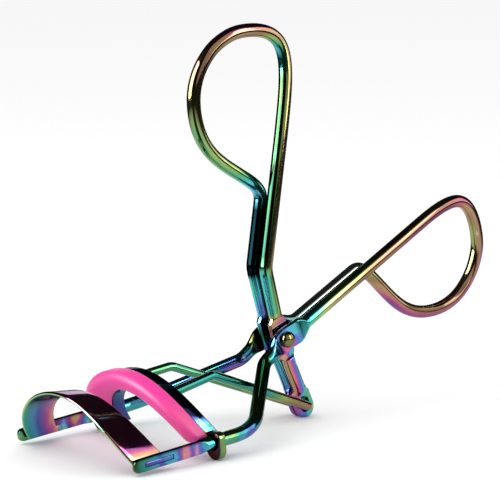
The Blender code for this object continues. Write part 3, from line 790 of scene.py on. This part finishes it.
# painted shade lines, where the wire mirrors a dark gap between the lights: (from, to, side of the
# section, width, depth)
FRAME_PAINTED_SHADE_LINES = [(0.385, 0.475, -0.25, 0.35, 0.75)]
LEVER_PAINTED_SHADE_LINES = [(0.113, 0.178, 0.25, 0.16, 0.75), (0.815, 0.876, 0.15, 0.16, 0.70),
                 (0.815, 0.876, -0.45, 0.16, 0.45), (0.600, 0.700, 0.75, 0.50, 0.86),
                 (0.690, 0.818, 0.75, 0.55, 0.98)]
LINK_FILM = [(0.00, (0.57, 0.56, 0.08)), (0.25, (0.58, 0.56, 0.08)), (0.36, (0.62, 0.60, 0.08)),
             (0.45, (0.84, 0.60, 0.08)), (0.55, (0.96, 0.60, 0.06)), (0.62, (0.84, 0.60, 0.08)),
             (0.70, (0.66, 0.56, 0.08)), (1.00, (0.62, 0.56, 0.08))]
# (place on the arch from -1 at the far foot to 1 at the near one, (hue, tone as painted shade and
# highlight, blotches))
PLATE_OUTER = [(-1.0, (0.27, 0.55, 0.1)), (-0.70, (0.23, 0.60, 0.1)), (-0.40, (0.21, 0.45, 0.1)),
               (0.00, (0.22, 0.40, 0.1)), (0.10, (0.16, 0.60, 0.0)), (0.25, (0.12, 0.60, 0.0)),
               (0.80, (0.13, 0.60, 0.0)), (0.835, (0.20, 0.50, 0.0)), (0.875, (0.13, 0.58, 0.0)),
               (0.915, (0.02, 0.66, 0.0)), (0.95, (-0.14, 0.66, 0.0)), (1.0, (-0.45, 0.60, 0.0))]
CHANNEL_OUTER = [(-1.0, (0.45, 0.30, 0.0)), (0.0, (0.40, 0.24, 0.0)), (0.76, (0.36, 0.20, 0.0)),
                 (0.81, (0.44, 0.95, 0.0)), (0.94, (0.47, 1.0, 0.0)), (1.0, (0.55, 0.9, 0.0))]
HOLLOW_HUE = (-0.04, 0.60)               # hollow face of the fixed jaw: at its back, at its front
HOLLOW_PAINTED_SHADE = (0.85, 0.30)               # painted shade of the hollow face: tone at the far foot, elsewhere
EDGE_FILM = (0.75, 0.90, 0.0)
TAB_FILM = (0.33, 0.95, 0.4)
LUG_RIM_FILM = (0.74, 0.50, 0.0)
# painted shade: the flat faces of the lugs are far darker than their rims
LUG_FACE_FILM_AND_SHADE = (0.12, 0.10, 0.0)
FLANGE_FILM = (0.34, 0.45, 0.1)


def arch_turn(p, half, rise):
    """(Place along an arch from -1 at the far foot to 1 at the near one, outward direction)."""
    radius = (half * half + rise * rise) / (2.0 * rise)
    outward = Vector((0.0, p.y, p.z - (ARCH_Z + rise - radius)))
    return math.atan2(outward.y, outward.z) / math.asin(half / radius), outward.normalized()


def fixed_film(p, normal):
    """Outer face, hollow face, cut edges and the staked ends of the tabs."""
    if abs(p.y) > RAIL_Y + 0.8 and abs(normal.y) > 0.5:
        return TAB_FILM
    turn, outward = arch_turn(p, FIXED[0], FIXED_FRONT[1])
    facing = normal.dot(outward)
    if facing > 0.5:
        return ramp(PLATE_OUTER, turn)
    if facing < -0.5:
        drop = ARCH_Z + FIXED_FRONT[1] - p.z
        back = FIXED_BACK[0] - FIXED_BACK[2][0] * drop - FIXED_BACK[2][1] * drop * drop
        front = FIXED_FRONT[0] - FIXED_FRONT[2][1] * drop * drop
        # painted shade: the hollow face is darker except near the far foot
        shade = smoothstep((turn + 0.62) / 0.25)
        return mix(*HOLLOW_HUE, (p.x - back) / (front - back)), mix(*HOLLOW_PAINTED_SHADE, shade), 0.12
    return EDGE_FILM


def slide_film(p, normal):
    """Lugs, the channel's outer face, and its flanges and inside."""
    beside_rail = p.z < ARCH_Z + 3.2 and abs(p.y) > RAIL_Y - LUG[0] - 0.2
    if beside_rail and LUG_X[0] - 0.1 < p.x < LUG_X[1] + 0.1:
        # painted shade: the lugs' flat faces are darker than their rims
        return LUG_RIM_FILM if abs(normal.x) < 0.6 else LUG_FACE_FILM_AND_SHADE
    turn, outward = arch_turn(p, SLIDE[0], SLIDE[1])
    if normal.dot(outward) > 0.5:
        return ramp(CHANNEL_OUTER, turn)
    return FLANGE_FILM


def rivet_film(p, normal):
    return 0.76 + 0.02 * p.y, 0.42, 0.1


# ---------------------------------------------------------------- materials

COATING = [(0.00, (0.60, 0.42, 0.22)), (0.08, (0.74, 0.34, 0.24)), (0.17, (0.62, 0.13, 0.36)),
           (0.27, (0.30, 0.12, 0.46)), (0.37, (0.10, 0.18, 0.58)), (0.47, (0.12, 0.48, 0.72)),
           (0.57, (0.06, 0.50, 0.44)), (0.67, (0.16, 0.48, 0.20)), (0.77, (0.46, 0.62, 0.20)),
           (0.86, (0.42, 0.36, 0.14)), (0.93, (0.50, 0.28, 0.20)), (1.00, (0.60, 0.42, 0.22))]
STREAK_BUMP = 0.025
EDGE_WEAR = (0.56, 5.0, 0.5)             # sharpness where wear begins, its rise, its most
# pale steel of worn edges, and of painted highlights where a tone above 1 bares it
WORN_AND_HIGHLIGHT_STEEL = (0.62, 0.60, 0.56, 1.0)
PAD_PINK = [(0.0, (0.82, 0.035, 0.32)), (0.35, (0.85, 0.030, 0.34)), (0.80, (0.85, 0.025, 0.33)),
            (0.94, (0.80, 0.05, 0.28))]


def new_material(name):
    mat = bpy.data.materials.new(name)
    mat.use_nodes = True
    tree = mat.node_tree
    return mat, tree, tree.nodes["Principled BSDF"]


def attribute(tree, name):
    made = tree.nodes.new("ShaderNodeAttribute")
    made.attribute_name = name
    return made.outputs["Vector"]


def maths(tree, operation, a, b):
    made = tree.nodes.new("ShaderNodeMath")
    made.operation = operation
    for socket, value in zip(made.inputs, (a, b)):
        if hasattr(value, "is_output"):
            tree.links.new(value, socket)
        else:
            socket.default_value = value
    return made.outputs[0]


def colour_ramp(tree, factor, stops):
    made = tree.nodes.new("ShaderNodeValToRGB")
    elements = made.color_ramp.elements
    while len(elements) < len(stops):
        elements.new(0.5)
    for element, (place, colour) in zip(elements, stops):
        element.position = place
        element.color = (*colour, 1.0)
    tree.links.new(factor, made.inputs[0])
    return made.outputs["Color"]


def map_range(tree, value, span):
    made = tree.nodes.new("ShaderNodeMapRange")
    made.inputs["From Min"].default_value, made.inputs["From Max"].default_value = span
    tree.links.new(value, made.inputs["Value"])
    return made.outputs["Result"]


def noise(tree, vector, scale, detail, roughness=0.5):
    made = tree.nodes.new("ShaderNodeTexNoise")
    made.inputs["Scale"].default_value = scale
    made.inputs["Detail"].default_value = detail
    made.inputs["Roughness"].default_value = roughness
    tree.links.new(vector, made.inputs["Vector"])
    return made.outputs[0]


def varied(tree, value, texture, amount):
    """Adds a texture of mean one half to a value."""
    around_zero = maths(tree, "SUBTRACT", texture, 0.5)
    return maths(tree, "ADD", value, maths(tree, "MULTIPLY", around_zero, amount))


def grey_colour(tree, level):
    made = tree.nodes.new("ShaderNodeCombineColor")
    for k in range(3):
        tree.links.new(level, made.inputs[k])
    return made.outputs[0]


def blend(tree, kind, factor, a, b):
    """A colour mix; factor and b are either sockets or values."""
    made = tree.nodes.new("ShaderNodeMix")
    made.data_type = "RGBA"
    made.blend_type = kind
    tree.links.new(a, made.inputs["A"])
    for name, value in (("Factor", factor), ("B", b)):
        if hasattr(value, "is_output"):
            tree.links.new(value, made.inputs[name])
        else:
            made.inputs[name].default_value = value
    return made.outputs["Result"]


def bump(tree, shader, height, strength, distance):
    made = tree.nodes.new("ShaderNodeBump")
    made.inputs["Strength"].default_value = strength
    made.inputs["Distance"].default_value = distance
    tree.links.new(height, made.inputs["Height"])
    tree.links.new(made.outputs[0], shader.inputs["Normal"])


def coated_steel(name, angle_shift=0.10, roughness=0.09):
    """Polished steel under a thin oxide film: the film's hue drifts along the piece, shifts at
    grazing angles, and carries drawing streaks, smudges and worn, paler edges. A tone below 1
    darkens the coating as painted shade, and a tone above 1 lets bare steel through as a painted
    highlight."""
    mat, tree, shader = new_material(name)
    streak = attribute(tree, "streak")
    parts = tree.nodes.new("ShaderNodeSeparateXYZ")
    tree.links.new(attribute(tree, "film"), parts.inputs[0])
    coords = tree.nodes.new("ShaderNodeTexCoord").outputs["Object"]
    weight = tree.nodes.new("ShaderNodeLayerWeight")
    weight.inputs["Blend"].default_value = 0.35
    clouds = noise(tree, coords, 140.0, 3.0)
    lines = noise(tree, streak, 9.0, 5.0, 0.7)
    patches = noise(tree, coords, 520.0, 2.0)
    hue = maths(tree, "ADD", parts.outputs[0],
                maths(tree, "MULTIPLY", weight.outputs["Facing"], angle_shift))
    hue = varied(tree, hue, clouds, 0.20)
    hue = varied(tree, hue, patches, parts.outputs[2])
    hue = varied(tree, hue, lines, 0.06)
    colour = colour_ramp(tree, maths(tree, "FRACT", hue, 0.0), COATING)
    tone = maths(tree, "MINIMUM", parts.outputs[1], 1.0)
    # painted shade also dims the grazing reflection through the specular tint
    grazing_shade = maths(tree, "MINIMUM", maths(tree, "MULTIPLY", tone, 1.5), 1.0)
    # painted shade and highlight: the coating colour scaled by its tone
    toned = blend(tree, "MULTIPLY", 1.0, colour, grey_colour(tree, tone))
    edges = tree.nodes.new("ShaderNodeNewGeometry").outputs["Pointiness"]
    worn = maths(tree, "MULTIPLY", maths(tree, "SUBTRACT", edges, EDGE_WEAR[0]), EDGE_WEAR[1])
    worn = maths(tree, "MINIMUM", maths(tree, "MAXIMUM", worn, 0.0), EDGE_WEAR[2])
    # worn edges, and painted highlights where the tone is above 1, show bare steel
    worn_and_highlit = maths(tree, "MAXIMUM", worn, maths(tree, "SUBTRACT", parts.outputs[1], 1.0))
    tree.links.new(blend(tree, "MIX", worn_and_highlit, toned, WORN_AND_HIGHLIGHT_STEEL), shader.inputs["Base Color"])
    tree.links.new(grey_colour(tree, grazing_shade), shader.inputs["Specular Tint"])
    shader.inputs["Metallic"].default_value = 1.0
    smudge = noise(tree, coords, 420.0, 4.0, 0.6)
    rough = maths(tree, "ADD", maths(tree, "MULTIPLY", smudge, 0.12), roughness - 0.05)
    tree.links.new(rough, shader.inputs["Roughness"])
    bump(tree, shader, lines, STREAK_BUMP, 0.00004)
    return mat


def silicone():
    """Soft hot-pink silicone: matte, slightly translucent, faintly mottled, darker at its ends."""
    mat, tree, shader = new_material("pad_silicone_soft")
    parts = tree.nodes.new("ShaderNodeSeparateXYZ")
    tree.links.new(attribute(tree, "film"), parts.inputs[0])
    coords = tree.nodes.new("ShaderNodeTexCoord").outputs["Object"]
    mottled = noise(tree, coords, 260.0, 4.0)
    place = maths(tree, "ADD", maths(tree, "MULTIPLY", parts.outputs[0], 0.5), 0.5)
    colour = colour_ramp(tree, varied(tree, place, mottled, 0.06), PAD_PINK)
    tree.links.new(colour, shader.inputs["Base Color"])
    shader.inputs["Subsurface Weight"].default_value = 0.35
    shader.inputs["Subsurface Radius"].default_value = (1.0, 0.25, 0.35)
    shader.inputs["Subsurface Scale"].default_value = 0.0012
    shader.inputs["Sheen Weight"].default_value = 0.10
    rough = maths(tree, "ADD", maths(tree, "MULTIPLY", mottled, 0.15), 0.38)
    tree.links.new(rough, shader.inputs["Roughness"])
    bump(tree, shader, noise(tree, coords, 3500.0, 2.0), 0.12, 0.00005)
    return mat


# ---------------------------------------------------------------- studio

LIGHT_DISTANCE = 0.7
LIGHT_AIM = Vector((0.0, 0.0, 0.03))
WHITE = (1.0, 1.0, 1.0)
CAMERA_FROM_PIVOT = (0.2683185, 0.3117846, 0.073355)
CAMERA_TURN = (82.1035, 0.9049, 139.7593)  # in degrees
CAMERA_LENS = 162.557
CAMERA_AZIMUTH = 49.9                    # where the camera stands, from +X towards +Y, in degrees
GAP_AZIMUTH = CAMERA_AZIMUTH - 12.5      # middle of the dark gap between the lights
GAP_WIDTH = (27.0, 16.0)                 # half width in degrees: where it fades in, where it is full
GAP_FROM = (0.035, 0.06)                 # the same, in metres from the tool
LIT_FLOOR = (0.10, 0.22)                 # metres over which the lit floor fades out
FLOOR_HALF = 8.0
PALE = (0.93, 0.93, 0.93)
DARK_FLOOR = (0.03, 0.03, 0.03)          # what polished steel mirrors past the lit floor
DARK_ROOM = (0.02, 0.02, 0.022)          # and beside the lights
# (name, azimuth from the camera, elevation, size, power, tint, shows in polished steel)
LIGHTS = (("left_box", -67.0, 18.0, (0.64, 0.70), 16.0, WHITE, True),
          ("right_box", 38.0, 30.0, (0.70, 0.70), 1.3, (1.0, 0.95, 0.90), True),
          ("right_strip", 66.0, 20.0, (0.20, 0.50), 1.9, WHITE, True),
          ("side_box", 91.0, 19.0, (0.42, 0.47), 1.25, WHITE, True),
          ("back_card", 180.0, 9.0, (0.50, 0.18), 0.45, (1.0, 0.96, 1.0), True),
          ("key_box", -50.0, 50.0, (0.80, 0.80), 1.9, WHITE, False))


def floor():
    """A wide pale floor. In reflections only its lit middle shows, as on a small table."""
    bm = bmesh.new()
    bmesh.ops.create_grid(bm, x_segments=8, y_segments=8, size=FLOOR_HALF)
    mesh = bpy.data.meshes.new("floor")
    bm.to_mesh(mesh)
    bm.free()
    obj = bpy.data.objects.new("floor", mesh)
    bpy.context.scene.collection.objects.link(obj)
    mat, tree, shader = new_material("floor_pale")
    path = tree.nodes.new("ShaderNodeLightPath")
    coords = tree.nodes.new("ShaderNodeTexCoord").outputs["Object"]
    length = tree.nodes.new("ShaderNodeVectorMath")
    length.operation = "LENGTH"
    tree.links.new(coords, length.inputs[0])
    parts = tree.nodes.new("ShaderNodeSeparateXYZ")
    tree.links.new(coords, parts.inputs[0])
    far = map_range(tree, length.outputs["Value"], LIT_FLOOR)
    # painted shade: in reflections the floor is also dark in a wedge towards the camera, the dark gap
    # between the lights
    bearing = maths(tree, "ARCTAN2", parts.outputs[1], parts.outputs[0])
    aside = maths(tree, "SUBTRACT", bearing, math.radians(GAP_AZIMUTH))
    aside = maths(tree, "ABSOLUTE", aside, 0.0)
    gap = maths(tree, "MULTIPLY", map_range(tree, aside, [math.radians(a) for a in GAP_WIDTH]),
                map_range(tree, length.outputs["Value"], GAP_FROM))
    dark = maths(tree, "MULTIPLY", maths(tree, "MAXIMUM", far, gap), path.outputs["Is Glossy Ray"])
    colour = colour_ramp(tree, dark, [(0.0, PALE), (1.0, DARK_FLOOR)])
    tree.links.new(colour, shader.inputs["Base Color"])
    shader.inputs["Roughness"].default_value = 0.9
    shader.inputs["Specular IOR Level"].default_value = 0.0
    mesh.materials.append(mat)


def softbox(name, azimuth, elevation, size, power, tint, mirrored):
    """A rectangular softbox that faces the tool. It either shows in polished steel or lights
    what is matte."""
    light = bpy.data.lights.new(name, "AREA")
    light.shape = "RECTANGLE"
    light.size, light.size_y = size
    light.energy = power
    light.color = tint
    obj = bpy.data.objects.new(name, light)
    bpy.context.scene.collection.objects.link(obj)
    obj.visible_glossy = mirrored
    obj.visible_diffuse = not mirrored
    obj.visible_camera = False
    turn, lift = math.radians(CAMERA_AZIMUTH + azimuth), math.radians(elevation)
    back = Vector((math.cos(turn) * math.cos(lift), math.sin(turn) * math.cos(lift), math.sin(lift)))
    obj.location = LIGHT_AIM + back * LIGHT_DISTANCE
    obj.rotation_euler = (-back).to_track_quat("-Z", "Y").to_euler()


def studio_world():
    """Pale for the camera and for soft fill, dark where polished steel mirrors the room."""
    world = bpy.data.worlds.new("studio")
    bpy.context.scene.world = world
    world.use_nodes = True
    tree = world.node_tree
    background = tree.nodes["Background"]
    path = tree.nodes.new("ShaderNodeLightPath")
    colour = colour_ramp(tree, path.outputs["Is Glossy Ray"], [(0.0, WHITE), (1.0, DARK_ROOM)])
    tree.links.new(colour, background.inputs["Color"])
    background.inputs["Strength"].default_value = 1.0


def camera():
    data = bpy.data.cameras.new("camera")
    data.lens = CAMERA_LENS
    data.sensor_width = 36.0
    data.clip_start = 0.01
    obj = bpy.data.objects.new("camera", data)
    bpy.context.scene.collection.objects.link(obj)
    obj.location = pivot + Vector(CAMERA_FROM_PIVOT)
    obj.rotation_euler = Euler([math.radians(a) for a in CAMERA_TURN])
    bpy.context.scene.camera = obj


def main():
    frame_wire(coated_steel("frame_coating"))
    lever_wire(coated_steel("lever_coating"))
    push_link(coated_steel("link_coating", roughness=0.13))
    pivot_rivet(coated_steel("rivet_coating", roughness=0.12))
    fixed_jaw(coated_steel("fixed_jaw_coating", angle_shift=0.06, roughness=0.07))
    slide_jaw(coated_steel("slide_jaw_coating", angle_shift=0.06, roughness=0.08))
    jaw_pad(silicone())
    floor()
    studio_world()
    for light in LIGHTS:
        softbox(*light)
    camera()
    bpy.context.scene.view_settings.view_transform = "Standard"


main()
